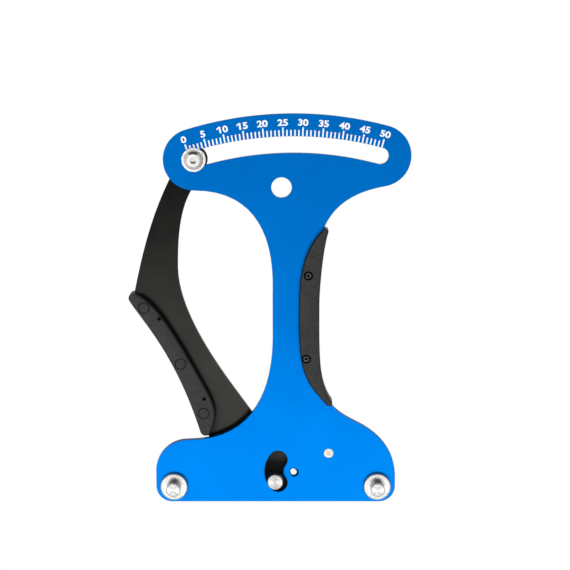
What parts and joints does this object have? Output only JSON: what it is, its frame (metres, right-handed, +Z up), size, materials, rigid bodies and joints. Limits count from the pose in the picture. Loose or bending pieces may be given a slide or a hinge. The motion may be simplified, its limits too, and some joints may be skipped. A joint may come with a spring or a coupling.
{
  "type": "spoke tension meter",
  "caption": "Hand tool for spoke tension: a flat frame plate with curved scale and two fixed posts, and a sprung lever arm that carries a moving post and a pointer.",
  "frame": {"origin": "centre of the hanging hole, halfway through the frame plate", "axes": "+X to the right as the scale is read, +Y from the front to the back, +Z up from the foot to the scale"},
  "size_m": [0.138, 0.0286, 0.1945],
  "materials": {
    "blue_coating": "satin blue coating",
    "black_coating": "matt black coating",
    "turned_steel": "bright turned",
    "plated_steel": "zinc plated",
    "spring_wire": "drawn wire",
    "bronze": "plain bearing bronze",
    "nylon": "black nylon",
    "grip_plastic": "fine moulded grain",
    "black_screw": "black oxide"
  },
  "bodies": {
    "frame": {"frame_plate": "blue_coating", "fixed_post_left": "turned_steel", "fixed_post_right": "turned_steel", "post_screws": "plated_steel", "post_washers": "plated_steel", "pivot_pin": "turned_steel", "spring_anchor_stud": "turned_steel", "spring_arbor": "nylon", "retaining_washer": "plated_steel", "retaining_clip": "plated_steel", "return_spring": "spring_wire", "body_grip_front": "grip_plastic", "body_grip_rear": "grip_plastic", "body_grip_screws": "black_screw"},
    "arm": {"arm_plate": "black_coating", "pivot_bush": "bronze", "pivot_glide_washer": "nylon", "moving_post": "turned_steel", "moving_post_screw": "plated_steel", "pointer_screw": "turned_steel", "pointer_washer": "turned_steel", "pointer_sleeve": "plated_steel", "pointer_glide_washer": "nylon", "pointer_rear_washer": "plated_steel", "pointer_nut": "plated_steel", "arm_grip_front": "grip_plastic", "arm_grip_rear": "grip_plastic", "arm_grip_screws": "black_screw"}
  },
  "joints": [
    {"name": "arm_pivot", "type": "hinge", "parent": "frame", "child": "arm", "pos_m": [0.006, 0.0036, -0.143], "axis": [0, 1, 0], "range_deg": [0, 32], "stiffness_Nm_per_rad": 0.9, "springref_deg": -45.84, "deforming": ["return_spring"]}
  ]
}
